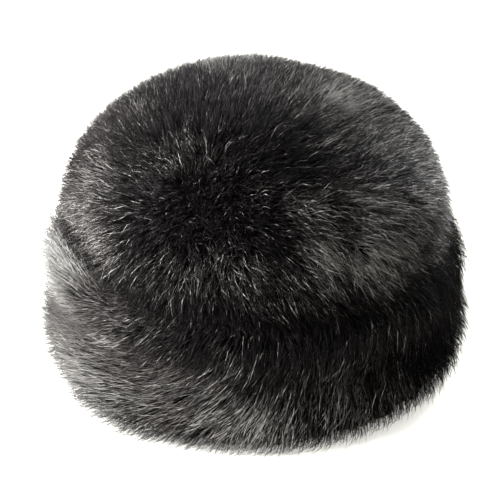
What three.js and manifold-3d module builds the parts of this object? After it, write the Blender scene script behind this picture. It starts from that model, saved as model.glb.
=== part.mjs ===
// A fur hat with a rounded crown and a turned-up cuff, standing on a table.
// Millimetres, +Z up. The origin is on the table under the middle of the hat, and the front faces -Y.
//
// The hat is sewn from deep-pile fur cloth. The crown is an oval tip on a side band, and the cuff is a
// strip that hangs from the crown's hem, folds outwards and stands up round it. Two cloth walls carry the
// fur, the crown's and the cuff's. Each piece of fur is a dense body of pile with its locks joined on,
// and the locks lie the way the pile is combed.

import * as THREE from "three";
import { ParametricGeometry } from "three/addons/geometries/ParametricGeometry.js";
import { mergeVertices } from "three/addons/utils/BufferGeometryUtils.js";
import Module from "manifold-3d";

const wasm = await Module();
wasm.setup();

// The oval of the head that the hat fits, 58 cm round
const HEAD_WIDTH = 181;
const HEAD_LENGTH = 188;

const CLOTH = 2; // thickness of the knitted backing
const GAP = 0.3; // clearance between separate pieces

// Heights above the table
const CROWN_TOP = 142; // the crown's cloth at the middle of its top
const SEAM_HEIGHT = 104; // the seam between the tip and the side band
const SHOULDER_HEIGHT = 79; // where the crown's wall starts to round over
const HEM_HEIGHT = 14; // the bottom edge of the crown's cloth
const CUFF_TOP = 60; // the top edge of the cuff's cloth

const CUFF_STAND = 12; // from the crown's cloth to the standing part of the cuff's
const CUFF_LEAN = 4; // how far the cuff's cloth leans in at its top edge

// Depth of the pile from the cloth to the tips of its locks
const CROWN_PILE = 20;
const CUFF_PILE = 22;
const FLOOR_PILE = 4; // what is left of it under the fold, pressed flat by the table
const BODY_SHARE = 0.86; // the dense part of the pile, under its locks

const TUCK = 9; // how far the cuff's fur turns down behind its top edge
const TUCK_ROOM = 5; // room for that fur between the cuff's cloth and the crease
const EDGE_ROOM = 7; // room for the fur over the cuff's top edge, under the crease
const CROWN_TUCK = 14; // how far the crown's fur runs down behind the cuff
const SEAM_DROP = 0.2; // fall of the cut between the tip's fur and the side's, for each mm outwards

// Depth of the crown's pile by height. above: height over the cuff's top edge, as a share of CROWN_PILE.
const CROWN_PILE_TABLE = [
  { above: -0.6, pile: 0.3 },
  { above: 0.0, pile: 0.45 },
  { above: 0.4, pile: 0.97 },
  { above: 1.0, pile: 1.0 },
  { above: 2.0, pile: 1.0 },
  { above: 4.0, pile: 0.9 },
];

// Depth of the cuff's pile along its line, as shares of the line and of CUFF_PILE
const CUFF_PILE_TABLE = [
  { along: 0.0, pile: 0.1 },
  { along: 0.1, pile: 0.3 },
  { along: 0.15, pile: 0.72 },
  { along: 0.35, pile: 0.78 },
  { along: 0.7, pile: 1.03 },
  { along: 0.78, pile: 0.78 },
  { along: 0.86, pile: 0.5 },
  { along: 1.0, pile: 0.12 },
];

// Soft hollows pressed into the crown's pile. angle: degrees round from +X. down: share of the crown's
// line. wide: degrees either way. tall: share of the line. depth: share of the pile that is lost.
const DENTS = [
  { angle: 213, down: 0.6, wide: 13, tall: 0.07, depth: 0.32 },
  { angle: 300, down: 0.5, wide: 12, tall: 0.1, depth: 0.3 },
  { angle: 322, down: 0.64, wide: 9, tall: 0.07, depth: 0.25 },
  { angle: 62, down: 0.33, wide: 16, tall: 0.07, depth: 0.25 },
];

// The whorl that the crown's pile is combed away from, on the front left of the tip
const WHORL = { angle: 247, height: 113 };
const FALL = 0.9; // how strongly the side's pile falls, beside the pull of the whorl

// The cuff's pile falls and sweeps clockwise: degrees from straight down, and the angle of the most sweep
const SWEEP = { mean: 50, swing: 30, towards: 190 };

// One lock: shares of its length and width, and of the depth between the body and the pile's surface
const LOCK_SECTIONS = [
  { at: 0.0, wide: 0.4, low: -2.0, high: -1.0 },
  { at: 0.3, wide: 1.0, low: -1.6, high: 0.8 },
  { at: 0.7, wide: 0.8, low: -0.8, high: 1.15 },
];
const LOCK_TIP = 1.0;
const FOLD_BARE = 0.86; // the share of the fold, from its inner end, that no lock reaches

// Rows of locks. down: share of the piece from its top. wide: share of the room in the row.
const TIP_LOCKS = [
  { down: 0.12, count: 5, long: 38, wide: 1.1 },
  { down: 0.4, count: 10, long: 40, wide: 1.1 },
  { down: 0.7, count: 16, long: 40, wide: 1.1 },
];
const SIDE_LOCKS = [{ down: 0.08, count: 20, long: 40, wide: 1.1 }];
const CUFF_LOCKS = [
  { down: 0.16, count: 20, long: 42, wide: 1.1 },
  { down: 0.35, count: 20, long: 42, wide: 1.1 },
  { down: 0.55, count: 20, long: 38, wide: 1.1 },
];

// How unevenly locks are set: shares of the room in the row, and of the lock's length
const UNEVEN = { around: 0.35, down: 0.18, long: 0.3 };

// Facets
const AROUND = 36; // round the hat
const STEP = 16; // along a line, in mm
const ARC_STEPS = 4; // at least, along an arc
const CLEAN = 0.05; // slivers smaller than this are joined to their neighbours, in mm

const COLOURS = { fur: 0x1b191a, cloth: 0x151416 };

const HEAD_MEAN = (HEAD_WIDTH + HEAD_LENGTH) / 2;
const OVAL = { x: HEAD_WIDTH / HEAD_MEAN, y: HEAD_LENGTH / HEAD_MEAN };
const FAR = 2 * CROWN_TOP; // beyond every piece, for cutting

const radians = THREE.MathUtils.degToRad;

// An even but unpatterned spread from -0.5 to 0.5
const scatter = (n) => ((n * 0.618034) % 1) - 0.5;

// Reads a table between its rows, with an eased step from row to row
function readTable(rows, key, at, value) {
  const after = rows.findIndex((row) => row[key] >= at);
  if (after === 0) return rows[0][value];
  if (after < 0) return rows.at(-1)[value];
  const [low, high] = [rows[after - 1], rows[after]];
  const share = THREE.MathUtils.smoothstep(at, low[key], high[key]);
  return THREE.MathUtils.lerp(low[value], high[value], share);
}

// The lines are the cloth's furred face, cut through the hat: x is the radius and y the height. They run
// downwards where the fur shows, so that the fur is on their left. Radii are those of a round hat, and
// pointOn stretches them to the head's oval.

const CROWN_RADIUS = HEAD_MEAN / 2 + CLOTH;

function crownPath() {
  const path = new THREE.CurvePath();
  const rise = CROWN_TOP - SHOULDER_HEIGHT;
  path.add(new THREE.EllipseCurve(0, SHOULDER_HEIGHT, CROWN_RADIUS, rise, Math.PI / 2, 0, true));
  path.add(
    new THREE.LineCurve(
      new THREE.Vector2(CROWN_RADIUS, SHOULDER_HEIGHT),
      new THREE.Vector2(CROWN_RADIUS, HEM_HEIGHT),
    ),
  );
  return path;
}

const FOLD_RADIUS = (CUFF_STAND + 2 * CLOTH) / 2; // outside of the fold
const FOLD = new THREE.Vector2(CROWN_RADIUS - CLOTH + FOLD_RADIUS, FLOOR_PILE + FOLD_RADIUS);
const CUFF_EDGE = new THREE.Vector2(FOLD.x + FOLD_RADIUS - CLOTH / 2 - CUFF_LEAN, CUFF_TOP);

// With tuck, the line starts behind the cuff's top edge, as its fur does
function cuffPath(tuck) {
  const path = new THREE.CurvePath();
  const half = CLOTH / 2;
  if (tuck > 0) {
    const inside = new THREE.Vector2(CUFF_EDGE.x - half, CUFF_TOP);
    path.add(new THREE.LineCurve(new THREE.Vector2(inside.x, CUFF_TOP - tuck), inside));
    path.add(new THREE.EllipseCurve(CUFF_EDGE.x, CUFF_EDGE.y, half, half, Math.PI, 0, true));
  }
  const foldOuter = new THREE.Vector2(FOLD.x + FOLD_RADIUS, FOLD.y);
  const foldInner = new THREE.Vector2(FOLD.x - FOLD_RADIUS, FOLD.y);
  path.add(new THREE.LineCurve(new THREE.Vector2(CUFF_EDGE.x + half, CUFF_TOP), foldOuter));
  path.add(new THREE.EllipseCurve(FOLD.x, FOLD.y, FOLD_RADIUS, FOLD_RADIUS, 0, -Math.PI, true));
  if (tuck <= 0) {
    const underHem = new THREE.Vector2(foldInner.x, HEM_HEIGHT - GAP);
    path.add(new THREE.LineCurve(foldInner, underHem));
  }
  return path;
}

// A line with its length, the stations that its facets share, and the pile that stands on it.
// ring: the radius of its cloth's top edge when it is laid out flat, 0 for a disc. bare: the lengths at
// its start and its end that locks don't reach.
function makeLine(path, ring, bare, pileAt) {
  const length = path.getLength();
  const reach = { from: bare.start, to: length - bare.end };
  const line = { path, ring, length, reach, stations: [0] };
  for (const curve of path.curves) {
    const stretch = curve.getLength();
    const steps = Math.max(Math.ceil(stretch / STEP), curve.isEllipseCurve ? ARC_STEPS : 1);
    const start = line.stations.at(-1);
    for (let i = 1; i <= steps; i++) line.stations.push(start + (stretch * i) / steps);
  }
  line.pile = (place) => pileAt(line, place);
  return line;
}

function sectionOf(line, along) {
  const share = THREE.MathUtils.clamp(along / line.length, 0, 1);
  const point = line.path.getPoint(share);
  const tangent = line.path.getTangent(share);
  return { point, normal: new THREE.Vector2(-tangent.y, tangent.x) };
}

// How far down the line a height is reached, searched from the line's start
function alongAt(line, height) {
  let [low, high] = [0, line.length];
  while (high - low > CLEAN / 1000) {
    const middle = (low + high) / 2;
    if (sectionOf(line, middle).point.y > height) low = middle;
    else high = middle;
  }
  return low;
}

// A point over the line's cloth, at an angle round the hat
function pointOn(line, angle, along, height) {
  const { point, normal } = sectionOf(line, along);
  const radius = point.x < CLEAN ? 0 : point.x + normal.x * height;
  const z = point.y + normal.y * height;
  return new THREE.Vector3(radius * Math.cos(angle) * OVAL.x, radius * Math.sin(angle) * OVAL.y, z);
}

// Moves a place by some millimetres down and around, over the cloth laid out flat as a disc or a ring
function moved(line, place, down, around) {
  const ring = place.along + line.ring;
  const stretch = ring / Math.max(sectionOf(line, place.along).point.x, 1);
  const x = ring + down;
  const y = around * stretch;
  const { from, to } = line.reach;
  const along = THREE.MathUtils.clamp(Math.hypot(x, y) - line.ring, from, to);
  return { angle: place.angle + Math.atan2(y, x), along };
}

function dentAt(line, { angle, along }) {
  let left = 1;
  for (const dent of DENTS) {
    const turn = THREE.MathUtils.euclideanModulo(angle - radians(dent.angle) + Math.PI, 2 * Math.PI);
    const across = (turn - Math.PI) / radians(dent.wide);
    const down = (along / line.length - dent.down) / dent.tall;
    left -= dent.depth * Math.exp(-(across ** 2) - down ** 2);
  }
  return left;
}

const crownLine = makeLine(crownPath(), 0, { start: 0, end: 0 }, (line, place) => {
  const above = (sectionOf(line, place.along).point.y - CUFF_TOP) / CROWN_PILE;
  return CROWN_PILE * readTable(CROWN_PILE_TABLE, "above", above, "pile") * dentAt(line, place);
});

const whorlAlong = alongAt(crownLine, WHORL.height);
const seamAlong = alongAt(crownLine, SEAM_HEIGHT);
const creaseAlong = alongAt(crownLine, CUFF_TOP);

const cuffCloth = makeLine(cuffPath(0), CUFF_EDGE.x, { start: 0, end: 0 }, () => CLOTH);

// The cuff's locks start outside its top edge and end where the fold turns under
const cuffBare = { start: TUCK + (Math.PI * CLOTH) / 2, end: Math.PI * FOLD_RADIUS * FOLD_BARE };
const cuffLine = makeLine(cuffPath(TUCK), CUFF_EDGE.x, cuffBare, (line, { along }) => {
  return CUFF_PILE * readTable(CUFF_PILE_TABLE, "along", along / line.length, "pile");
});

// Booleans need shared vertices and no triangle without area, such as those at a pole
function toSolid(geometry) {
  geometry.deleteAttribute("normal");
  geometry.deleteAttribute("uv");
  const merged = mergeVertices(geometry);
  const corners = merged.index.array;
  const kept = [];
  for (let i = 0; i < corners.length; i += 3) {
    const [a, b, c] = corners.slice(i, i + 3);
    if (a !== b && b !== c && c !== a) kept.push(a, b, c);
  }
  const vertProperties = merged.attributes.position.array;
  return new wasm.Manifold(new wasm.Mesh({ numProp: 3, vertProperties, triVerts: Uint32Array.from(kept) }));
}

// The outer shell alone, without the pockets that locks close in or the crumbs that a cut leaves
function shellOf(solid) {
  return solid.decompose().reduce((most, part) => (part.volume() > most.volume() ? part : most));
}

function toGeometry(solid) {
  const mesh = shellOf(solid.asOriginal().simplify(CLEAN)).getMesh();
  const geometry = new THREE.BufferGeometry();
  geometry.setAttribute("position", new THREE.BufferAttribute(mesh.vertProperties, 3));
  geometry.setIndex(new THREE.BufferAttribute(mesh.triVerts, 1));
  geometry.computeVertexNormals();
  return geometry;
}

// The solid between two heights over a line's cloth. low and high are functions of a place.
function layer(line, from, to, low, high) {
  const between = line.stations.filter((along) => along > from + CLEAN && along < to - CLEAN);
  const places = [from, ...between, to];
  const section = [
    ...places.map((along) => ({ along, height: low })),
    ...places.reverse().map((along) => ({ along, height: high })),
  ];
  const closedOnAxis = sectionOf(line, from).point.x < GAP;
  if (!closedOnAxis) section.push(section[0]);
  const last = section.length - 1;
  const surface = (u, v, target) => {
    const angle = 2 * Math.PI * (u % 1);
    const { along, height } = section[Math.round(v * last)];
    target.copy(pointOn(line, angle, along, height({ angle, along })));
  };
  return toSolid(new ParametricGeometry(surface, AROUND, last));
}

// A ring or disc with its axis upright, from an outline of [radius, height] points. Its facets are
// turned by half a facet, so that no edge of it lies on an edge of the fur that it cuts.
function turned(outline) {
  const points = outline.map(([radius, height]) => new THREE.Vector2(radius, height));
  const geometry = new THREE.LatheGeometry(points, AROUND, Math.PI / AROUND);
  geometry.rotateX(Math.PI / 2);
  geometry.scale(OVAL.x, OVAL.y, 1);
  return toSolid(geometry);
}

// Which way the crown's pile lies: away from the whorl, and falling below the seam
function crownHeading(place) {
  const turn = radians(WHORL.angle) - place.angle;
  const down = place.along - whorlAlong * Math.cos(turn);
  const stretch = place.along / Math.max(sectionOf(crownLine, place.along).point.x, 1);
  const around = (-whorlAlong * Math.sin(turn)) / stretch;
  const heading = new THREE.Vector2(down, around).normalize();
  heading.x += FALL * THREE.MathUtils.smoothstep(place.along, seamAlong, creaseAlong);
  return heading.normalize();
}

function cuffHeading({ angle }) {
  const sweep = radians(SWEEP.mean + SWEEP.swing * Math.cos(angle - radians(SWEEP.towards)));
  return new THREE.Vector2(Math.cos(sweep), -Math.sin(sweep));
}

// One pointed lock: a three-sided blade that leaves the body of the pile and ends in the tips
function lock(line, root, heading, long, wide) {
  const place = (at, side) => {
    const down = heading.x * at * long - heading.y * side;
    const around = heading.y * at * long + heading.x * side;
    return moved(line, root, down, around);
  };
  const over = (spot, share) => {
    const pile = line.pile(spot);
    const height = pile * (BODY_SHARE + (1 - BODY_SHARE) * share);
    return pointOn(line, spot.angle, spot.along, height);
  };
  const rings = LOCK_SECTIONS.map(({ at, wide: share, low, high }) => [
    over(place(at, (-wide * share) / 2), low),
    over(place(at, 0), high),
    over(place(at, (wide * share) / 2), low),
  ]);
  const tip = over(place(1, 0), LOCK_TIP);
  rings.push([tip, tip, tip]);
  const corners = [...rings[0]];
  rings.slice(1).forEach((ring, i) => {
    const before = rings[i];
    for (let a = 0; a < 3; a++) {
      const b = (a + 1) % 3;
      corners.push(before[a], ring[a], ring[b], before[a], ring[b], before[b]);
    }
  });
  return toSolid(mergeVertices(new THREE.BufferGeometry().setFromPoints(corners)));
}

// The locks of every row, from a piece's top to its bottom
function locks(line, rows, from, to, headingOf) {
  return rows.flatMap(({ down, count, long, wide }, row) =>
    Array.from({ length: count }, (_, i) => {
      const mark = row * rows[0].count + 7 * row + i;
      const turn = i + (row % 2) / 2 + UNEVEN.around * scatter(mark);
      const angle = (2 * Math.PI * turn) / count;
      const along = from + (to - from) * down + UNEVEN.down * long * scatter(3 * mark + 1);
      const room = (2 * Math.PI * sectionOf(line, along).point.x) / count;
      const length = long * (1 + UNEVEN.long * scatter(5 * mark + 2));
      const root = { angle, along };
      return lock(line, root, headingOf(root), length, Math.max(room, long / 2) * wide);
    }),
  );
}

// A line's cloth, grown by a clearance on both faces
function clothSolid(line, clearance) {
  return layer(line, 0, line.length, () => -CLOTH - clearance, () => clearance);
}

// A piece of fur: its body and its locks in one solid, clear of its cloth
function fur(line, cloth, bodySpan, lockSpan, rows, headingOf) {
  const top = (place) => BODY_SHARE * line.pile(place);
  const body = layer(line, bodySpan.from, bodySpan.to, () => GAP, top);
  const all = wasm.Manifold.union(locks(line, rows, lockSpan.from, lockSpan.to, headingOf));
  return body.add(all.subtract(clothSolid(cloth, 2 * GAP)));
}

// Everything over the cut between the tip's fur and the side's. The cut starts at the seam and falls
// outwards, so that the tip's locks hang over the side's.
function overSeam(raise) {
  const start = SEAM_HEIGHT + raise;
  const reach = CROWN_RADIUS + 2 * CROWN_PILE;
  const inner = sectionOf(crownLine, seamAlong).point.x - CLOTH;
  return turned([
    [0, start],
    [inner, start],
    [reach, start - SEAM_DROP * (reach - inner)],
    [reach, FAR],
    [0, FAR],
  ]);
}

// Everything over the crease between the crown's fur and the cuff's, which runs up behind the cuff's
// tucked fur and out over its top edge. shift: how far the cut stays inside and above the crease.
function overCrease(shift) {
  const inner = CUFF_EDGE.x - CLOTH / 2 - TUCK_ROOM - shift;
  const edge = CUFF_TOP + EDGE_ROOM + shift;
  return turned([
    [0, 0],
    [inner, 0],
    [inner, CUFF_TOP],
    [CUFF_EDGE.x - shift, edge],
    [FAR, edge],
    [FAR, FAR],
    [0, FAR],
  ]);
}

// The body of the tip's fur runs past the seam, so that the cut shapes its edge
function crownTipFur() {
  const tip = { from: 0, to: seamAlong };
  const body = { from: 0, to: seamAlong + CROWN_PILE };
  return fur(crownLine, crownLine, body, tip, TIP_LOCKS, crownHeading).intersect(overSeam(GAP));
}

function crownSideFur() {
  const shown = { from: seamAlong, to: creaseAlong };
  const body = { from: seamAlong, to: creaseAlong + CROWN_TUCK };
  const whole = fur(crownLine, crownLine, body, shown, SIDE_LOCKS, crownHeading);
  return whole.subtract(overSeam(0)).intersect(overCrease(GAP));
}

function cuffFur() {
  const whole = { from: 0, to: cuffLine.length };
  return fur(cuffLine, cuffCloth, whole, whole, CUFF_LOCKS, cuffHeading)
    .subtract(overCrease(0))
    .trimByPlane([0, 0, 1], 0);
}

const clothMaterial = () => {
  return new THREE.MeshStandardMaterial({ color: COLOURS.cloth, roughness: 0.95, metalness: 0 });
};
const furMaterial = () => {
  return new THREE.MeshStandardMaterial({ color: COLOURS.fur, roughness: 0.55, metalness: 0 });
};

function piece(name, solid, material) {
  const mesh = new THREE.Mesh(toGeometry(solid), material);
  mesh.name = name;
  return mesh;
}

const crown = new THREE.Group();
crown.add(
  piece("crown_cloth", clothSolid(crownLine, 0), clothMaterial()),
  piece("crown_tip_fur", crownTipFur(), furMaterial()),
  piece("crown_side_fur", crownSideFur(), furMaterial()),
);

const cuff = new THREE.Group();
cuff.add(
  piece("cuff_cloth", clothSolid(cuffCloth, 0), clothMaterial()),
  piece("cuff_fur", cuffFur(), furMaterial()),
);

const hat = new THREE.Group();
hat.add(crown, cuff);

export default hat;
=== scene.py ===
# %% [markdown]
# # A fur hat with a turned-up cuff
#
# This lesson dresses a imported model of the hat. The model holds two cloth walls and three solid pieces of
# fur. Their sizes and places are kept. The cloth is made again with its seams, and the fur becomes about
# 160,000 separate hairs over a dark undercoat. All lengths here are in metres.

import math

import bmesh
import bpy
import numpy as np
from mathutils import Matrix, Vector, noise


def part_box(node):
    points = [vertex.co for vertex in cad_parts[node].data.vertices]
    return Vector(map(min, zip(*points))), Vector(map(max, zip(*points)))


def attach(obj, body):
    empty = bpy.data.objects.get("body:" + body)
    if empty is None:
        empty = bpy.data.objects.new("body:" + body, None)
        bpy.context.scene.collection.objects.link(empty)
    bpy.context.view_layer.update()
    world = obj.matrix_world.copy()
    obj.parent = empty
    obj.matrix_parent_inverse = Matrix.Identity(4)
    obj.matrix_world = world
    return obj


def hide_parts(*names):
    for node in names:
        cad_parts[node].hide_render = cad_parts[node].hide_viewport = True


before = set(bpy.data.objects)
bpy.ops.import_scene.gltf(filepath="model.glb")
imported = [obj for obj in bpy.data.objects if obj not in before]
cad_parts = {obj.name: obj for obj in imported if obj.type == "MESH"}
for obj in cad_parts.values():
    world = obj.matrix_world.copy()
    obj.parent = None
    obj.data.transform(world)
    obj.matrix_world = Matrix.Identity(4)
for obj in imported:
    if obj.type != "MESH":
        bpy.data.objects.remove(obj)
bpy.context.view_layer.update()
MM = 0.001

# %% [markdown]
# ## The camera
#
# The hat is seen from the front and from 30 degrees above the table, with a long lens from 0.75 m away.
# Making the camera first means that every later step can be looked at from the right place.

# %% Camera
CAMERA_DISTANCE = 0.75
CAMERA_ELEVATION = math.radians(30)
CAMERA_LENS = 93.6  # mm, on a sensor 36 mm wide
LOOKED_AT = Vector((0, 0, 0.07))  # the distance is measured from here, in the middle of the hat
AIM = Vector((-0.0023, -0.0087, 0.055))  # the middle of the picture


def put(name, data):
    """An object in the scene, made of its data."""
    made = bpy.data.objects.new(name, data)
    bpy.context.scene.collection.objects.link(made)
    return made


camera_data = bpy.data.cameras.new("camera")
camera_data.lens = CAMERA_LENS
camera = put("camera", camera_data)
back = Vector((0, -math.cos(CAMERA_ELEVATION), math.sin(CAMERA_ELEVATION)))
camera.location = LOOKED_AT + CAMERA_DISTANCE * back
camera.rotation_euler = (AIM - camera.location).to_track_quat("-Z", "Y").to_euler()
bpy.context.scene.camera = camera
print("The camera stands", [round(v, 3) for v in camera.location])

# %% [markdown]
# ## The lines of the hat
#
# A hat like this is sewn from a few flat pieces, but worn in they act as surfaces of revolution with an
# oval plan. So each is kept as one line across the hat: its radius and height, from the top downwards.
# The fur stands on the left of the line. The radii and heights are measured on the frame, and the others
# are the maker's own sizes.

# %% Sizes
CLOTH = 2 * MM  # thickness of the knitted backing
GAP = 0.3 * MM  # clearance between separate pieces
SHOULDER_HEIGHT = 79 * MM  # where the crown's wall starts to round over
SEAM_HEIGHT = 104 * MM  # the seam between the tip and the side band
CUFF_LEAN = 4 * MM  # how far the cuff's cloth leans in at its top edge
TUCK = 9 * MM  # how far the cuff's fur turns down behind its top edge

crown_low, crown_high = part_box("crown_cloth")
cuff_low, cuff_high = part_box("cuff_cloth")
crown_radius = (crown_high.x + crown_high.y) / 2
oval = np.array([crown_high.x, crown_high.y]) / crown_radius
fold_outer = cuff_high.x / oval[0]
fold_inner = crown_radius - CLOTH
fold_radius = (fold_outer - fold_inner) / 2
fold_middle = (fold_outer + fold_inner) / 2
fold_height = cuff_low.z + fold_radius
cuff_edge = fold_outer - CUFF_LEAN - CLOTH / 2
print("Crown radius", round(crown_radius / MM, 2), "mm, fold radius", round(fold_radius / MM, 2), "mm")

# %% Lines
SAMPLE = 0.5 * MM  # spacing of a line's points


def straight(start, end):
    count = max(2, round(math.dist(start, end) / SAMPLE))
    return np.linspace(start, end, count)


def arc(middle, radii, start, end):
    """Part of an ellipse, from one angle to another, in degrees up from the outward direction."""
    count = max(12, round(max(radii) * math.radians(abs(end - start)) / SAMPLE))
    angle = np.radians(np.linspace(start, end, count))
    return np.column_stack([middle[0] + radii[0] * np.cos(angle), middle[1] + radii[1] * np.sin(angle)])


def join(*stretches):
    """One line from its stretches: its points, the length up to each, and its direction there."""
    points = np.vstack(stretches)
    step = np.linalg.norm(np.diff(points, axis=0), axis=1)
    points = points[np.r_[True, step > SAMPLE / 100]]
    along = np.r_[0, np.cumsum(np.linalg.norm(np.diff(points, axis=0), axis=1))]
    direction = np.gradient(points, along, axis=0)
    direction /= np.linalg.norm(direction, axis=1)[:, None]
    return {"points": points, "along": along, "direction": direction, "length": along[-1]}


crown_line = join(
    arc((0, SHOULDER_HEIGHT), (crown_radius, crown_high.z - SHOULDER_HEIGHT), 90, 0),
    straight((crown_radius, SHOULDER_HEIGHT), (crown_radius, crown_low.z)),
)
half = CLOTH / 2
cuff_stand = [
    straight((cuff_edge + half, cuff_high.z), (fold_outer, fold_height)),
    arc((fold_middle, fold_height), (fold_radius, fold_radius), 0, -180),
    straight((fold_inner, fold_height), (fold_inner, crown_low.z - GAP)),
]
cuff_cloth_line = join(*cuff_stand)
cuff_line = join(
    straight((cuff_edge - half, cuff_high.z - TUCK), (cuff_edge - half, cuff_high.z)),
    arc((cuff_edge, cuff_high.z), (half, half), 180, 0),
    *cuff_stand,
)
print("Lines in mm: crown", round(crown_line["length"] / MM), "cuff", round(cuff_line["length"] / MM))

# %% Points over a line


def ease(low, high, value):
    """0 below low, 1 above high, and a smooth step between them."""
    share = np.clip((value - low) / (high - low), 0, 1)
    return share * share * (3 - 2 * share)


def read_table(rows, at):
    """A table of (place, value) rows, read with an eased step from row to row."""
    places, values = np.array(rows).T
    row = np.clip(np.searchsorted(places, at) - 1, 0, len(rows) - 2)
    share = ease(places[row], places[row + 1], at)
    return values[row] + share * (values[row + 1] - values[row])


def section(line, along):
    """A line's points and directions at some lengths along it."""
    points, directions = (
        np.stack([np.interp(along, line["along"], line[key][:, i]) for i in (0, 1)], axis=-1)
        for key in ("points", "direction")
    )
    return points, directions


def over(line, angle, along, height):
    """Points over a line's cloth, at angles round the hat and heights from the cloth."""
    point, direction = section(line, along)
    radius = np.maximum(point[..., 0] - direction[..., 1] * height, 0)
    z = point[..., 1] + direction[..., 0] * height + 0 * angle
    return np.stack([radius * np.cos(angle) * oval[0], radius * np.sin(angle) * oval[1], z], axis=-1)


def along_at(line, height):
    """How far down the crown's line a height is reached."""
    return float(np.interp(-height, -line["points"][:, 1], line["along"]))


seam_along = along_at(crown_line, SEAM_HEIGHT)
crease_along = along_at(crown_line, cuff_high.z)
print("The tip's seam is", round(seam_along / MM), "mm down the crown's line")

# %% [markdown]
# ## How deep the pile is
#
# Fur keeps an even depth where nothing touches it. It is pressed thin behind the cuff and under the fold,
# and it gives way in a few soft hollows where the hat has been handled. Short tables hold these depths as
# shares of the full pile.

# %% Depth of the pile
CROWN_PILE = 20 * MM
CUFF_PILE = 22 * MM

# (height over the cuff's top edge as a share of CROWN_PILE, share of CROWN_PILE)
CROWN_DEPTHS = [(-0.6, 0.3), (0.0, 0.45), (0.4, 0.97), (1.0, 1.0), (2.0, 1.0), (4.0, 0.9)]

# (share of the furred line from the tuck to the end of the fold, share of CUFF_PILE)
CUFF_DEPTHS = [(0, 0.1), (0.1, 0.3), (0.15, 0.72), (0.35, 0.78), (0.7, 1.03), (0.78, 0.78), (0.86, 0.5)]
CUFF_DEPTHS += [(1, 0.12)]

# Hollows in the crown's pile: angle and half width in degrees, place and half height as shares of the
# crown's line, and the share of the pile that is lost
HOLLOWS = [
    {"angle": 213, "wide": 13, "down": 0.6, "tall": 0.07, "lost": 0.32},
    {"angle": 300, "wide": 12, "down": 0.5, "tall": 0.1, "lost": 0.3},
    {"angle": 322, "wide": 9, "down": 0.64, "tall": 0.07, "lost": 0.25},
    {"angle": 62, "wide": 16, "down": 0.33, "tall": 0.07, "lost": 0.25},
]

furred_cuff = cuff_line["length"] - (crown_low.z - GAP - fold_height)


def turn_from(angle, degrees):
    """The turn from a direction given in degrees, in radians from -pi to pi."""
    return (angle - math.radians(degrees) + math.pi) % (2 * math.pi) - math.pi


def patch(angle, along, line, spot):
    """1 in the middle of a spot on the hat, falling smoothly to 0 around it."""
    across = turn_from(angle, spot["angle"]) / math.radians(spot["wide"])
    down = (along / line["length"] - spot["down"]) / spot["tall"]
    return np.exp(-(across**2) - down**2)


def crown_depth(angle, along):
    height = section(crown_line, along)[0][..., 1]
    share = read_table(CROWN_DEPTHS, (height - cuff_high.z) / CROWN_PILE)
    for hollow in HOLLOWS:
        share = share * (1 - hollow["lost"] * patch(angle, along, crown_line, hollow))
    return CROWN_PILE * share


def cuff_depth(angle, along):
    return CUFF_PILE * read_table(CUFF_DEPTHS, along / furred_cuff) + 0 * angle


print("Pile at the seam", round(float(crown_depth(0.0, seam_along)) / MM, 1), "mm")

# %% [markdown]
# ## Where the hair stands higher
#
# The undercoat keeps to the depths above. The hair stands a little higher: slightly on the crown, more over
# the cuff's top edge, where it fans out, and most in two places on the cuff's left. The undercoat could rise
# with it, but only loose hair has so soft an edge.

# %% Depth of the hair
CROWN_GAIN = 0.04
ROLL = {"down": 0.14, "tall": 0.13, "gained": 0.38}
FULL_PLACES = [
    {"angle": 232, "wide": 15, "down": 0.62, "tall": 0.22, "gained": 0.32},
    {"angle": 205, "wide": 22, "down": 0.12, "tall": 0.04, "gained": 0.6},
]


def crown_hair_depth(angle, along):
    return (1 + CROWN_GAIN) * crown_depth(angle, along)


def cuff_hair_depth(angle, along):
    over_roll = ROLL["gained"] * np.exp(-(((along / furred_cuff - ROLL["down"]) / ROLL["tall"]) ** 2))
    full = sum(place["gained"] * patch(angle, along, cuff_line, place) for place in FULL_PLACES)
    return cuff_depth(angle, along) * (1 + over_roll + full)


print("Hair at the seam", round(float(crown_hair_depth(0.0, seam_along)) / MM, 1), "mm")

# %% [markdown]
# ## Meshes from a line
#
# Every surface here is a grid: so many stations along a line, and so many steps round the hat. One helper
# makes such a grid, open for a skin that hairs grow on, or closed into a shell for cloth and undercoat.

# %% Grids


def grid_faces(rows, columns, close_rows=False):
    """Quads of a grid whose columns run round the hat. Their order makes the faces look outwards."""
    row = np.arange(rows if close_rows else rows - 1)[:, None]
    column = np.arange(columns)[None, :]
    after_row, after_column = (row + 1) % rows, (column + 1) % columns
    corners = [
        row * columns + column,
        after_row * columns + column,
        after_row * columns + after_column,
        row * columns + after_column,
    ]
    return np.stack([corner.ravel() for corner in corners], axis=1)


def make_object(name, points, faces):
    """A mesh object at the origin."""
    mesh = bpy.data.meshes.new(name)
    mesh.from_pydata(points.reshape(-1, 3).tolist(), [], faces.tolist())
    return put(name, mesh)


def clean(made):
    """Joins the points at a pole, where a row of the grid has shrunk to one place."""
    shape = bmesh.new()
    shape.from_mesh(made.data)
    bmesh.ops.remove_doubles(shape, verts=shape.verts, dist=0.01 * MM)
    shape.to_mesh(made.data)
    shape.free()
    return made


def shell(name, line, start, end, low, high, step, around):
    """A closed layer between two heights over a line. low and high are functions of angle and along."""
    down = np.linspace(start, end, max(2, round((end - start) / step)))[:, None]
    angle = np.linspace(0, 2 * math.pi, around, endpoint=False)[None, :]
    outer = over(line, angle, down, high(angle, down))
    inner = over(line, angle, down, low(angle, down))
    points = np.concatenate([outer, inner[::-1]])
    made = clean(make_object(name, points, grid_faces(len(points), around, close_rows=True)))
    made.data.shade_smooth()
    return made


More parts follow.
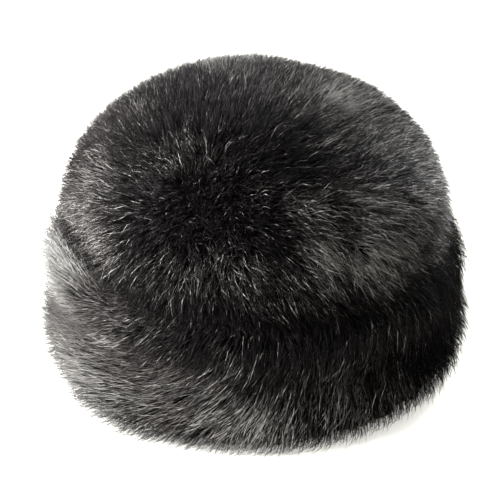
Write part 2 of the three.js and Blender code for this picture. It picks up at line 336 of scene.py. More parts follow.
# %% [markdown]
# ## Which way the hair lies
#
# Fur is combed. On the crown the hair stands at a whorl on the front left and lies away from it on every
# side, and lower down it falls. On the cuff it falls and sweeps clockwise, most of all on the left, and at
# the front it is combed squarely over the top edge. The way the hair lies is what gives fur its bands of
# light and dark, so it is worked out before any hair. Hands have also stroked it here and there. A painted
# map could hold that, but a short table of strokes is easier to read and to change. The same tables also
# hold painted sheen and shade: patches of hair painted paler where light catches it, and darker where it
# lies in shade, as just above the cuff.

# %% Strokes, with painted sheen and shade, on the crown
# Where the pile was stroked, and where sheen and shade are painted into it: angle and half width in degrees,
# place and half height as shares of the line, how much greyer the hair is painted (painted sheen above 0,
# painted shade below 0), by how many degrees it is turned (clockwise if below 0), and how even its grey
# is from hair to hair
PATCH_COLUMNS = ("angle", "wide", "down", "tall", "grey", "turned", "even")
CROWN_STROKES_AND_PAINTED_LIGHT = [
    (205, 14, 0.6, 0.1, 0.38, 0, 0.5),
    (224, 7, 0.6, 0.045, 0.1, -20, 0),
    (184, 18, 0.42, 0.1, 0.07, 0, 0.5),
    (205, 40, 0.2, 0.13, -0.3, 0, 0),
    (245, 50, 0.12, 0.1, -0.3, 0, 0),
    (262, 13, 0.55, 0.022, 0.28, 15, 0),
    (287, 7, 0.43, 0.035, 0.6, -20, 0),
    (290, 7, 0.53, 0.045, 0.75, -30, 0),
    (302, 9, 0.585, 0.045, 0.8, -35, 0),
    (306, 16, 0.52, 0.09, 0.25, -10, 0),
    (296, 3, 0.59, 0.06, -0.4, 0, 0),
    (300, 8, 0.42, 0.07, 0.26, -10, 0),
    (322, 9, 0.56, 0.06, 0.3, -20, 0),
    (255, 24, 0.44, 0.08, -0.36, 0, 0),
    (285, 34, 0.26, 0.09, -0.36, -15, 0),
    (350, 28, 0.23, 0.08, 0.6, -30, 0.3),
    (352, 16, 0.44, 0.07, 0.27, -10, 0.3),
    # These rows paint shade into the band just above the cuff's crease
    (201, 8, 0.635, 0.016, -0.8, 0, 0),
    (217, 11, 0.665, 0.02, -0.75, 0, 0),
    (275, 40, 0.68, 0.055, -0.5, 0, 0),
    (235, 14, 0.69, 0.05, -0.3, 0, 0),
    (244, 11, 0.61, 0.03, -0.16, 0, 0),
    (60, 15, 0.5, 0.07, 0.2, -25, 0),
    (108, 18, 0.42, 0.06, -0.15, 20, 0),
    (140, 12, 0.55, 0.07, 0.2, -20, 0),
]

# %% Strokes, with painted sheen and shade, on the cuff
CUFF_STROKES_AND_PAINTED_LIGHT = [
    (207, 26, 0.35, 0.45, 0.34, 0, 0.9),
    (200, 24, 0.14, 0.08, 0.36, 0, 0.5),
    (214, 20, 0.1, 0.05, 0.12, 0, 0.4),
    (290, 45, 0.14, 0.11, -0.2, 0, 0),
    (225, 18, 0.62, 0.18, 0.34, 0, 0.6),
    (250, 17, 0.46, 0.32, 0.32, 0, 0.65),
    (272, 9, 0.56, 0.2, 0.55, 0, 0.35),
    (300, 13, 0.6, 0.18, 0.2, 0, 0),
    (334, 20, 0.25, 0.4, -0.45, 0, 0),
    (20, 10, 0.4, 0.3, 0.18, 15, 0),
    (85, 14, 0.45, 0.25, 0.2, -15, 0),
    (150, 12, 0.4, 0.3, 0.15, 10, 0),
]

# %% Greys of the hair
CROWN_GREY = 0.32  # where its table adds nothing
CUFF_GREY = 0.355
CREASE_PAINTED_SHADE = -0.28  # painted shade: how much darker the cuff's hair is painted in the crease
CREASE = (0.08, 0.16)  # where that painted crease shade fades out, as shares of the furred line


def patch_sum(strokes, line, column, angle, along):
    """The sum of one column of a table of strokes and painted sheen and shade, over the hat."""
    strokes = [dict(zip(PATCH_COLUMNS, row)) for row in strokes]
    return sum(stroke[column] * patch(angle, along, line, stroke) for stroke in strokes)


def crown_tone_and_painted_light(angle, along):
    """How grey the crown's hair is, with the sheen and shade painted into it, and how even that grey is from
    hair to hair.
    """
    grey = CROWN_GREY + patch_sum(CROWN_STROKES_AND_PAINTED_LIGHT, crown_line, "grey", angle, along)
    return grey, patch_sum(CROWN_STROKES_AND_PAINTED_LIGHT, crown_line, "even", angle, along)


# The cuff's grey, with painted shade in the crease and the painted sheen and shade of its table
def cuff_tone_and_painted_light(angle, along):
    crease_shade = 1 - ease(*CREASE, along / furred_cuff)
    grey = CUFF_GREY + CREASE_PAINTED_SHADE * crease_shade + patch_sum(CUFF_STROKES_AND_PAINTED_LIGHT, cuff_line, "grey", angle, along)
    return grey, patch_sum(CUFF_STROKES_AND_PAINTED_LIGHT, cuff_line, "even", angle, along)


def turn_nap(nap, out, degrees):
    """Turns the nap about the surface's outward direction."""
    turn = np.radians(degrees)[..., None]
    return np.cos(turn) * nap + np.sin(turn) * np.cross(out, nap)


print(len(CROWN_STROKES_AND_PAINTED_LIGHT), "strokes on the crown and", len(CUFF_STROKES_AND_PAINTED_LIGHT), "on the cuff")

# %% Sizes of the nap
WHORL = {"angle": 241, "height": 121 * MM}
FALL = 0.9  # how strongly the crown's hair falls near the cuff, beside the pull of the whorl

# How far the cuff's hair is combed round the hat: (angle, degrees from straight down)
SWEEP = [(0, 40), (60, 55), (120, 75), (180, 92), (222, 95), (248, 72), (272, 46), (310, 40), (360, 40)]

# Where the hair is combed over the cuff's top edge, how squarely, how far down, and the cosines of the
# angle from there between which that fades in
COMBED_OVER = {"angle": 300, "share": 0.75, "down": 12 * MM, "fades": (0, 0.7)}
CROWN_REACH = 9.5 * MM  # how far along the surface a hair lies
CREASE_REACH = 1.5  # times as far in the crease
CUFF_REACH = 16.5 * MM
EDGE_REACH = 0.7  # as a share of the cuff's, at its top edge
FOLD_REACH = 0.4  # and at its fold, which starts and ends at these shares of the furred line
FOLD = (0.5, 0.85)
STANDING_REACH = 7 * MM  # at the whorl
STANDING_NAP = 0.4  # how firmly the nap points there, as a share of elsewhere
WHORL_SIZE = (12 * MM, 62 * MM)  # from standing hair to hair that lies down
BENDS = (1, 100)  # the least and the most that a surface may curve: one over a radius of 1 m and of 10 mm
SMALLEST_RADIUS = 5 * MM  # of a ring round the hat
print("The whorl is", WHORL["height"] / MM, "mm up, on the front left")

# %% Directions and bends


def directions(line, angle, along):
    """Unit vectors down the surface, round it, and out of it."""
    _, direction = section(line, along)
    along_r, along_z = direction[..., 0], direction[..., 1]
    flat = 0 * angle
    down = np.stack([along_r * np.cos(angle), along_r * np.sin(angle), along_z + flat], axis=-1)
    out = np.stack([-along_z * np.cos(angle), -along_z * np.sin(angle), along_r + flat], axis=-1)
    round_hat = np.stack([-np.sin(angle) + 0 * along, np.cos(angle) + 0 * along, flat + 0 * along], axis=-1)
    return down, round_hat, out


def unit(vectors):
    return vectors / np.maximum(np.linalg.norm(vectors, axis=-1, keepdims=True), 1e-9)


def turning(line, along):
    """How sharply a line turns: one over its radius."""
    direction = line["direction"]
    normal = np.column_stack([-direction[:, 1], direction[:, 0]])
    turns = np.sum(np.gradient(normal, line["along"], axis=0) * direction, axis=1)
    return np.interp(along, line["along"], turns)


def crowd_at(line, along, low, high):
    """How much wider the surface gets from one height to another where the line turns."""
    turn = np.maximum(turning(line, along), 0)
    return (1 + turn * high) / (1 + turn * low)


def bend_at(line, angle, along, height, nap):
    """How sharply the surface at a height curves in the direction of the nap: one over the radius."""
    down, _, _ = directions(line, angle, along)
    point, direction = section(line, along)
    along_bend = turning(line, along)
    outwards = -direction[..., 1]
    radius = np.maximum(point[..., 0] + outwards * height, SMALLEST_RADIUS)
    share = np.sum(nap * down, axis=-1) ** 2
    bend = share * along_bend / (1 + along_bend * height) + (1 - share) * outwards / radius
    return np.clip(bend, *BENDS)


sharpest = turning(cuff_line, cuff_line["along"]).max()
print("The tightest turn of the cuff's line has a radius of", round(1 / sharpest / MM, 1), "mm")

# %% Nap
whorl = over(crown_line, math.radians(WHORL["angle"]), along_at(crown_line, WHORL["height"]), CROWN_PILE)


def crown_nap(angle, along):
    down, _, out = directions(crown_line, angle, along)
    away = over(crown_line, angle, along, CROWN_PILE) - whorl
    distance = np.linalg.norm(away, axis=-1)
    away = away - out * np.sum(away * out, axis=-1, keepdims=True)
    fall = FALL * ease(seam_along, crease_along, along + 0 * angle)
    nap = unit(unit(away) + fall[..., None] * down)
    nap = turn_nap(nap, out, patch_sum(CROWN_STROKES_AND_PAINTED_LIGHT, crown_line, "turned", angle, along))
    settled = ease(*WHORL_SIZE, distance)
    reach = STANDING_REACH + (CROWN_REACH - STANDING_REACH) * settled
    reach = reach * (1 + (CREASE_REACH - 1) * ease(crease_along - CROWN_PILE, crease_along, along))
    return nap * (STANDING_NAP + (1 - STANDING_NAP) * settled)[..., None], reach


def cuff_nap(angle, along):
    down, round_hat, out = directions(cuff_line, angle, along)
    sweep = np.radians(read_table(SWEEP, np.degrees(angle) % 360))
    over_edge = 1 - ease(TUCK, TUCK + COMBED_OVER["down"], along)
    facing = np.cos(turn_from(angle, COMBED_OVER["angle"]))
    squarely = COMBED_OVER["share"] * ease(*COMBED_OVER["fades"], facing)
    sweep = (sweep * (1 - squarely * over_edge))[..., None]
    past_edge = ease(TUCK, TUCK + CUFF_PILE / 2, along + 0 * angle)
    reach = CUFF_REACH * (EDGE_REACH + (1 - EDGE_REACH) * past_edge)
    reach = reach * (1 - (1 - FOLD_REACH) * ease(*FOLD, along / furred_cuff))
    nap = np.cos(sweep) * down - np.sin(sweep) * round_hat
    return turn_nap(nap, out, patch_sum(CUFF_STROKES_AND_PAINTED_LIGHT, cuff_line, "turned", angle, along)), reach


print("Hair at the cuff's edge lies", round(float(cuff_nap(0.0, TUCK)[1]) / MM, 1), "mm along it")

# %% [markdown]
# ## Skins for the hair
#
# The hairs are planted on a skin inside the undercoat. The skin carries what each hair needs to know: the
# way the nap lies, how far the hair lies along it, how deep the pile is, and how grey the hair is there,
# with its painted sheen and shade, and how evenly. Over the cuff's top edge the fur is much wider than the
# skin under it, so the skin also says how closely to plant. It is shaded smooth, so that the hairs fan out
# evenly over that edge and don't part.

# %% Skins
SKIN_STEP = 1.5 * MM
SKIN_AROUND = 200


def note(made, key, values, kind="FLOAT", part="value"):
    """Keeps values as an attribute of a mesh's points."""
    attribute = made.data.attributes.new(key, kind, "POINT")
    attribute.data.foreach_set(part, np.ascontiguousarray(values, dtype=np.float32).ravel())


def skin(name, line, start, end, depth, nap, tone, root_share, reach_share):
    """An open grid at the hairs' roots, with what they need as attributes of its points."""
    along = np.linspace(start, end, max(2, round((end - start) / SKIN_STEP)))[:, None]
    angle = np.linspace(0, 2 * math.pi, SKIN_AROUND, endpoint=False)[None, :]
    deep = depth(angle, along)
    points = over(line, angle, along, root_share * deep)
    made = make_object(name, points, grid_faces(len(along), SKIN_AROUND))
    made.data.shade_smooth()
    lies, reach = nap(angle, along)
    grey, even = tone(angle, along)
    bend = bend_at(line, angle, along, root_share * deep, unit(lies))
    note(made, "nap", lies, "FLOAT_VECTOR", "vector")
    fields = {
        "depth": deep * (1 - root_share),
        "reach": reach * reach_share,
        "bend": bend,
        "crowd": crowd_at(line, along, root_share * deep, deep),
        "tone": grey,
        "even": np.clip(even, 0, 1),
    }
    for key, values in fields.items():
        note(made, key, values + 0 * deep)
    return made


def area_of(made):
    """The area of a skin, counted as larger where the hair stands closer."""
    crowd = made.data.attributes["crowd"].data
    return sum(face.area * sum(crowd[i].value for i in face.vertices) / 4 for face in made.data.polygons)


print("A skin has a point every", SKIN_STEP / MM, "mm")

# %% [markdown]
# ## A node tree that grows hair
#
# One tree serves the whole hat. It scatters roots over a skin, puts a thin three-sided cone on each, and
# then bends every cone: up through the pile, over along the nap, and towards the middle of its tuft. Hair
# curves or a particle system could stand on the same skin. A tree of mesh nodes was chosen because every
# step can be read, and because it ends in closed meshes that any program can open.

# %% Node helpers


def pick(sockets, key):
    """A socket by its number, or the one in use of that name."""
    if isinstance(key, int):
        return sockets[key]
    return next(found for found in sockets if found.name == key and found.enabled)


def add(tree, kind, inputs=None, **settings):
    """Adds a node, with its settings, and its inputs as values or as links from other nodes."""
    made = tree.nodes.new(kind)
    for name, value in settings.items():
        setattr(made, name, value)
    for key, value in (inputs or {}).items():
        target = pick(made.inputs, key)
        if isinstance(value, bpy.types.NodeSocket):
            tree.links.new(value, target)
        else:
            target.default_value = value
    return made


def number(tree, operation, *values):
    return add(tree, "ShaderNodeMath", dict(enumerate(values)), operation=operation).outputs[0]


def times(tree, first, *others):
    for other in others:
        first = number(tree, "MULTIPLY", first, other)
    return first


def vector(tree, operation, *values):
    made = add(tree, "ShaderNodeVectorMath", dict(enumerate(values)), operation=operation)
    return made.outputs["Value" if operation in ("DOT_PRODUCT", "LENGTH") else "Vector"]


def scaled(tree, value, factor):
    return add(tree, "ShaderNodeVectorMath", {0: value, 3: factor}, operation="SCALE").outputs[0]


def total(tree, first, *others):
    for other in others:
        first = vector(tree, "ADD", first, other)
    return first


def joined(tree, *values):
    """A vector from its x, y and z."""
    return add(tree, "ShaderNodeCombineXYZ", dict(enumerate(values))).outputs[0]


def parts(tree, value):
    """The x, y and z of a vector."""
    return add(tree, "ShaderNodeSeparateXYZ", {0: value}).outputs


# %% The tree's inputs
HAIR_INPUTS = [
    ("Density", "NodeSocketFloat", 500000.0),
    ("Seed", "NodeSocketInt", 1),
    ("Joints", "NodeSocketInt", 2),
    ("Width", "NodeSocketFloat", 0.54 * MM),
    ("Tuft Size", "NodeSocketFloat", 7 * MM),
    ("Tuft Pull", "NodeSocketFloat", 0.35),
    ("Uneven", "NodeSocketFloat", 0.6),
    ("Tuft Stray", "NodeSocketFloat", 0.5),
    ("Stray", "NodeSocketFloat", 0.7),
    ("Curl", "NodeSocketFloat", 0.3),
    ("Floor", "NodeSocketFloat", 0.4 * MM),
    ("Finish", "NodeSocketMaterial", None),
]


def new_hair_tree():
    tree = bpy.data.node_groups.new("grow_hair", "GeometryNodeTree")
    tree.interface.new_socket("Skin", in_out="INPUT", socket_type="NodeSocketGeometry")
    for name, kind, value in HAIR_INPUTS:
        made = tree.interface.new_socket(name, in_out="INPUT", socket_type=kind)
        if value is not None:
            made.default_value = value
    tree.interface.new_socket("Hair", in_out="OUTPUT", socket_type="NodeSocketGeometry")
    tree.nodes.new("NodeGroupInput")
    return tree


def given(tree, name):
    """One of the tree's own inputs."""
    return tree.nodes["Group Input"].outputs[name]


def field(tree, name, kind="FLOAT"):
    """An attribute of the skin."""
    return add(tree, "GeometryNodeInputNamedAttribute", {"Name": name}, data_type=kind).outputs[0]


def position(tree):
    return add(tree, "GeometryNodeInputPosition").outputs[0]


# %% [markdown]
# ## Chance and waves
#
# Two kinds of disorder make fur look real. Some things change from one hair to the next, and come from a
# random number with a seed of its own. Others change slowly over the hat, for many hairs together, and
# come from smooth noise. The sizes of both were found by looking at renders.

# %% Chance and waves
# Each hair's rise, reach and width are the usual times a random number between these limits
SPREAD = {"rise": (0.65, 1.18), "reach": (0.7, 1.15), "width": (0.6, 1.25)}

# Waves that disturb the nap, and clouds that change its grey: their size and strength
WAVES = [(45 * MM, 2.2), (12 * MM, 1.6)]
CLOUDS = (28 * MM, 1.0)

TUFT_GREY = 0.16  # how much the grey changes from tuft to tuft
HAIR_GREY = (-0.34, 0.2)  # and from hair to hair
GLINT = {"grey": 0.75, "rarity": 6.0}  # painted glints: a few hairs are painted much greyer
TONES = (0.02, 0.98)  # the darkest and the palest grey on the map


def chance(tree, low, high, seed):
    """A random number for each hair."""
    seed = number(tree, "ADD", given(tree, "Seed"), seed)
    inputs = {"Min": low, "Max": high, "Seed": seed}
    return pick(add(tree, "FunctionNodeRandomValue", inputs, data_type="FLOAT").outputs, "Value")


def centred(tree, colour):
    """A random colour as a vector that points anywhere."""
    return vector(tree, "SUBTRACT", colour, (0.5, 0.5, 0.5))


def wander(tree, size, amount):
    """A smooth random vector that changes over a distance of about size."""
    inputs = {"Vector": scaled(tree, position(tree), 1 / size), "Scale": 1.0, "Detail": 1.0}
    return scaled(tree, centred(tree, add(tree, "ShaderNodeTexNoise", inputs).outputs["Color"]), amount)


# %% [markdown]
# ## Roots and tufts
#
# Real fur stands in tufts whose tips come together. The cells of a Voronoi pattern are such tufts: each
# root finds the middle of its cell and leans there. Clumping by hand would need thousands of guides.

# %% Roots and tufts


def scatter(tree):
    """Points on the skin, closer where it is crowded, and the outward direction of each."""
    density = times(tree, given(tree, "Density"), field(tree, "crowd"))
    inputs = {"Mesh": given(tree, "Skin"), "Density": density, "Seed": given(tree, "Seed")}
    roots = add(tree, "GeometryNodeDistributePointsOnFaces", inputs).outputs
    return roots["Points"], roots["Normal"]


def along_skin(tree, value, out):
    """The part of a vector that runs along the skin."""
    return vector(tree, "SUBTRACT", value, scaled(tree, out, vector(tree, "DOT_PRODUCT", value, out)))


def tufts(tree, out):
    """The lean to the middle of a root's tuft, and a random vector that all of the tuft shares."""
    place = position(tree)
    inputs = {"Vector": place, "Scale": number(tree, "DIVIDE", 1.0, given(tree, "Tuft Size"))}
    cell = add(tree, "ShaderNodeTexVoronoi", inputs).outputs
    to_middle = along_skin(tree, vector(tree, "SUBTRACT", cell["Position"], place), out)
    return scaled(tree, to_middle, given(tree, "Tuft Pull")), centred(tree, cell["Color"])


# %% The nap and the grey of one hair


def nap_of_hair(tree, out, of_tuft):
    """The nap of the skin, disturbed in waves, in tufts and from hair to hair."""
    stray = joined(tree, *(chance(tree, -0.5, 0.5, seed) for seed in (11, 12, 13)))
    nap = total(
        tree,
        field(tree, "nap", "FLOAT_VECTOR"),
        *(scaled(tree, wander(tree, *wave), given(tree, "Uneven")) for wave in WAVES),
        scaled(tree, of_tuft, given(tree, "Tuft Stray")),
        scaled(tree, stray, given(tree, "Stray")),
    )
    return vector(tree, "NORMALIZE", along_skin(tree, nap, out))


def tone_of_hair(tree, of_tuft):
    """The tone of the skin, and how far this hair is from it. Where the grey is even, that is less."""
    shade = times(tree, parts(tree, of_tuft)[0], TUFT_GREY)
    mixed = number(tree, "ADD", parts(tree, wander(tree, *CLOUDS))[0], shade)
    glint = times(tree, number(tree, "POWER", chance(tree, 0.0, 1.0, 4), GLINT["rarity"]), GLINT["grey"])
    mixed = number(tree, "ADD", number(tree, "ADD", mixed, chance(tree, *HAIR_GREY, 6)), glint)
    mixed = times(tree, mixed, number(tree, "SUBTRACT", 1.0, field(tree, "even")))
    tone = number(tree, "ADD", field(tree, "tone"), mixed)
    return number(tree, "MINIMUM", number(tree, "MAXIMUM", tone, TONES[0]), TONES[1])


def keep(tree, points, out):
    """Notes on each root all that its hair needs later, when the root itself is gone."""
    to_tuft, of_tuft = tufts(tree, out)
    rise, reach, width = (
        times(tree, usual, chance(tree, *SPREAD[key], seed))
        for key, usual, seed in (
            ("rise", field(tree, "depth"), 1),
            ("reach", field(tree, "reach"), 2),
            ("width", given(tree, "Width"), 3),
        )
    )
    held = {
        "root": ("VECTOR", position(tree)),
        "out": ("VECTOR", out),
        "nap": ("VECTOR", nap_of_hair(tree, out, of_tuft)),
        "to_tuft": ("VECTOR", to_tuft),
        "rise": ("FLOAT", rise),
        "reach": ("FLOAT", reach),
        "bend": ("FLOAT", field(tree, "bend")),
        "curl": ("FLOAT", times(tree, given(tree, "Curl"), chance(tree, -1.0, 1.0, 5))),
        "width": ("FLOAT", width),
        "tone": ("FLOAT", tone_of_hair(tree, of_tuft)),
        "even": ("FLOAT", field(tree, "even")),
    }
    kept = add(tree, "GeometryNodeCaptureAttribute", {0: points}, domain="POINT")
    for name, (kind, value) in held.items():
        kept.capture_items.new(kind, name)
        tree.links.new(value, kept.inputs[name])
    return kept.outputs


# %% [markdown]
# ## From cone to hair
#
# Every root gets the same upright cone, and each point of it remembers where in the cone it was: how far
# up, and on which side. From that the tree works out where the point belongs on its own hair. The hair
# rises quickly at first and then lies over, and its line follows the curve of the hat, so that no tip
# sinks in or stands off.

# %% Cones
RISE_CURVE = 1.8  # powers of the share of a hair's length: how early it rises,
REACH_CURVE = 1.15  # how early it lies over,
TUFT_CURVE = 1.5  # and how late it leans to its tuft
RISING = 1.6  # how steeply it starts, beside its reach
SWELL = (0.55, 1.7)  # the width at the root, and how fast it grows on the way up, against the cone's


def cones(tree, points):
    """A cone on each root, all as one mesh, and each point's place in its cone."""
    inputs = {"Vertices": 3, "Side Segments": given(tree, "Joints")}
    inputs |= {"Radius Top": 0.0, "Radius Bottom": 1.0, "Depth": 1.0}
    cone = add(tree, "GeometryNodeMeshCone", inputs, fill_type="NGON").outputs["Mesh"]
    shape = add(tree, "GeometryNodeCaptureAttribute", {0: cone}, domain="POINT")
    shape.capture_items.new("VECTOR", "shape")
    tree.links.new(position(tree), shape.inputs["shape"])
    planted = add(tree, "GeometryNodeInstanceOnPoints", {"Points": points, "Instance": shape.outputs[0]})
    hairs = add(tree, "GeometryNodeRealizeInstances", {0: planted.outputs[0]}).outputs[0]
    return hairs, parts(tree, shape.outputs["shape"])


# %% A point's place on its hair


def hair_place(tree, kept, across):
    """Where a point of a cone belongs on its hair."""
    along = across[2]  # 0 at the root and 1 at the tip
    left = number(tree, "SUBTRACT", 1.0, along)
    up = number(tree, "SUBTRACT", 1.0, number(tree, "POWER", left, RISE_CURVE))
    forward = times(tree, kept["reach"], number(tree, "POWER", along, REACH_CURVE))
    out, nap = kept["out"], kept["nap"]

    # The line of the hair goes round a circle, the curve of the skin, that gets wider as it rises
    turn = times(tree, forward, kept["bend"])
    cosine, sine = number(tree, "COSINE", turn), number(tree, "SINE", turn)
    radius = number(tree, "DIVIDE", 1.0, kept["bend"])
    wider = number(tree, "MULTIPLY_ADD", kept["rise"], up, radius)
    side = vector(tree, "NORMALIZE", vector(tree, "CROSS_PRODUCT", out, nap))
    sideways = times(tree, kept["curl"], forward, along)
    line = total(
        tree,
        kept["root"],
        scaled(tree, out, number(tree, "SUBTRACT", times(tree, wider, cosine), radius)),
        scaled(tree, nap, times(tree, wider, sine)),
        scaled(tree, side, sideways),
        scaled(tree, kept["to_tuft"], number(tree, "POWER", along, TUFT_CURVE)),
    )

    # The cone's section, square to the hair. Its two directions and the hair's make a right-handed set, so
    # the faces look outwards.
    out_there = vector(tree, "ADD", scaled(tree, out, cosine), scaled(tree, nap, sine))
    nap_there = vector(tree, "SUBTRACT", scaled(tree, nap, cosine), scaled(tree, out, sine))
    rising = times(tree, kept["rise"], times(tree, left, RISING))
    ahead = scaled(tree, nap_there, kept["reach"])
    heading = vector(tree, "ADD", scaled(tree, out_there, rising), ahead)
    over_side = vector(tree, "NORMALIZE", vector(tree, "CROSS_PRODUCT", heading, side))
    swell = number(tree, "MULTIPLY_ADD", along, SWELL[1], SWELL[0])
    thick = times(tree, kept["width"], 0.5, swell)
    return total(
        tree,
        line,
        scaled(tree, side, times(tree, across[0], thick)),
        scaled(tree, over_side, times(tree, across[1], thick)),
    )


def above_floor(tree, where):
    """Hairs under the fold are pressed flat on the table."""
    x, y, z = parts(tree, where)
    return joined(tree, x, y, number(tree, "MAXIMUM", z, given(tree, "Floor")))


# %% [markdown]
# ## A map for the finish
#
# The finish has to know two things about a point: how grey its hair is, and how near the tip it is. Both
# could be attributes, but a map carries them as one, and other programs can read it. So each hair is a
# narrow upright strip on the map: across is its grey, and up is the way to its tip.

# %% A map for the finish
MAP_MARGIN = 0.02  # left free below the roots and above the tips
STRIP = (0.0015, 0.3)  # half a strip's width, and how far a hair's back is moved across it


def store(tree, geometry, name, value, kind, domain):
    inputs = {"Geometry": geometry, "Name": name, "Value": value}
    made = add(tree, "GeometryNodeStoreNamedAttribute", inputs, data_type=kind, domain=domain)
    return made.outputs[0]


def place_on_map(tree, kept, across):
    strip = times(tree, number(tree, "MULTIPLY_ADD", across[1], STRIP[1], across[0]), STRIP[0])
    grey = number(tree, "ADD", kept["tone"], strip)
    return joined(tree, grey, number(tree, "MULTIPLY_ADD", across[2], 1 - 2 * MAP_MARGIN, MAP_MARGIN))


# %% The whole tree


def hair_tree():
    tree = new_hair_tree()
    kept = keep(tree, *scatter(tree))
    hairs, across = cones(tree, kept[0])
    where = above_floor(tree, hair_place(tree, kept, across))
    hairs = add(tree, "GeometryNodeSetPosition", {"Geometry": hairs, "Position": where}).outputs[0]
    hairs = store(tree, hairs, "even", kept["even"], "FLOAT", "POINT")
    hairs = store(tree, hairs, "OFBake", place_on_map(tree, kept, across), "FLOAT2", "CORNER")
    hairs = add(tree, "GeometryNodeSetShadeSmooth", {"Geometry": hairs}).outputs[0]
    inputs = {"Geometry": hairs, "Material": given(tree, "Finish")}
    add(tree, "NodeGroupOutput", {"Hair": add(tree, "GeometryNodeSetMaterial", inputs).outputs[0]})
    return tree


grow_hair = hair_tree()
print("The hair tree has", len(grow_hair.nodes), "nodes")

# %% Growing hair on a skin


def grow(name, base, hairs, finish, **sizes):
    """Runs the tree on a skin and returns the hair as a plain mesh object."""
    modifier = base.modifiers.new("hair", "NODES")
    modifier.node_group = grow_hair
    wanted = {"Density": hairs / area_of(base), "Finish": finish, **sizes}
    for entry in grow_hair.interface.items_tree:
        if entry.in_out == "INPUT" and entry.name in wanted:
            modifier[entry.identifier] = wanted[entry.name]
    seen = base.evaluated_get(bpy.context.evaluated_depsgraph_get())
    mesh = bpy.data.meshes.new_from_object(seen)
    mesh.name = name
    made = put(name, mesh)
    base.modifiers.remove(modifier)
    bpy.data.objects.remove(base)
    triangles = sum(len(face.vertices) - 2 for face in mesh.polygons)
    print(name, "has", triangles, "triangles")
    return made


# %% [markdown]
# ## Finishes
#
# The hair is near black with a faint warm cast. What looks grey is hair that shines, so a hair gets paler
# and glossier together, by its place on the map: the paleness is painted sheen. Short painted glints lie
# along it, and its root is painted darker than its tip, as painted shade deep in the pile. A shader made for
# strands would do this by itself, but it needs hair curves, and this plain finish can also be baked.

# %% Hair finish
# How grey a hair is on the map, from 0 to 1, and its colour
HAIR_GREYS = [
    (0.0, (0.0005, 0.0002, 0.0003)),
    (0.25, (0.0014, 0.0008, 0.0009)),
    (0.5, (0.0094, 0.0074, 0.0074)),
    (0.75, (0.05, 0.047, 0.045)),
    (1.0, (0.22, 0.216, 0.208)),
]
PAINTED_ROOT_SHADE = [(0.05, (0.2, 0.2, 0.2)), (0.7, (1, 1, 1))]  # painted shade deep in the pile: the share of that colour, by the way to the tip

# Painted glints, short paler stretches along the hairs: how fine they are across and along hairs, which
# part of the noise makes them, how much paler they and what lies between them are painted, and the share
# that is taken from both where the grey is even
GLINTS = {"scale": (170.0, 6.0, 1.0), "limits": {"From Min": 0.42, "From Max": 0.66}}
GLINTS |= {"paler": 0.46, "between": -0.17, "where even": -0.65}
HAIR_ROUGHNESS = {"From Min": 0.1, "From Max": 0.7, "To Min": 0.8, "To Max": 0.28}  # from dark to grey
HAIR_SHINE = {"IOR": 1.25, "Specular IOR Level": 0.24}


def new_material(name):
    made = bpy.data.materials.new(name)
    made.use_nodes = True
    return made, made.node_tree, made.node_tree.nodes["Principled BSDF"]


def tune(shader, values):
    for name, value in values.items():
        shader.inputs[name].default_value = value


def ramp(tree, factor, stops):
    """A colour ramp from (place, colour) stops."""
    made = add(tree, "ShaderNodeValToRGB", {"Fac": factor})
    elements = made.color_ramp.elements
    while len(elements) < len(stops):
        elements.new(0.5)
    for element, (place, colour) in zip(elements, stops):
        element.position = place
        element.color = (*colour, 1)
    return made.outputs["Color"]


def hair_finish():
    made, tree, shader = new_material("hair")
    on_map = add(tree, "ShaderNodeUVMap", uv_map="OFBake").outputs[0]
    of_hair, up = parts(tree, on_map)[:2]
    # Painted glints: noise on the map paints short paler stretches along each hair
    inputs = {"Vector": vector(tree, "MULTIPLY", on_map, GLINTS["scale"]), "Scale": 1.0, "Detail": 0.0}
    inputs = {"Value": add(tree, "ShaderNodeTexNoise", inputs).outputs["Fac"], **GLINTS["limits"]}
    shine = add(tree, "ShaderNodeMapRange", inputs).outputs[0]
    shine = number(tree, "MULTIPLY_ADD", shine, GLINTS["paler"], GLINTS["between"])
    even = add(tree, "ShaderNodeAttribute", attribute_name="even", attribute_type="GEOMETRY").outputs["Fac"]
    shine = times(tree, shine, number(tree, "MULTIPLY_ADD", even, GLINTS["where even"], 1.0))
    grey = number(tree, "ADD", of_hair, shine)
    inputs = {"Factor": 1.0, "A": ramp(tree, grey, HAIR_GREYS), "B": ramp(tree, up, PAINTED_ROOT_SHADE)}
    colour = add(tree, "ShaderNodeMix", inputs, data_type="RGBA", blend_type="MULTIPLY").outputs
    tree.links.new(pick(colour, "Result"), shader.inputs["Base Color"])
    rough = add(tree, "ShaderNodeMapRange", {"Value": grey, **HAIR_ROUGHNESS}).outputs[0]
    tree.links.new(rough, shader.inputs["Roughness"])
    tune(shader, HAIR_SHINE)
    return made


hair = hair_finish()
print("The hair's finish has", len(hair.node_tree.nodes), "nodes")

# %% Undercoat and cloth finishes
DULL = {"Roughness": 0.9}
UNDERCOAT_GREYS = [(0.3, (0.0003, 0.0002, 0.0002)), (0.8, (0.0025, 0.002, 0.002))]
CLOTH_GREYS = [(0.2, (0.004, 0.004, 0.0045)), (0.9, (0.02, 0.019, 0.021))]


def patterned(name, kind, inputs, greys, relief, **settings):
    """A dull finish whose colour and relief follow one pattern."""
    made, tree, shader = new_material(name)
    place = add(tree, "ShaderNodeTexCoord").outputs["Object"]
    pattern = add(tree, kind, {"Vector": place, **inputs}, **settings).outputs["Fac"]
    tree.links.new(ramp(tree, pattern, greys), shader.inputs["Base Color"])
    bump = add(tree, "ShaderNodeBump", {"Height": pattern, "Distance": relief}).outputs[0]
    tree.links.new(bump, shader.inputs["Normal"])
    tune(shader, DULL)
    return made, shader


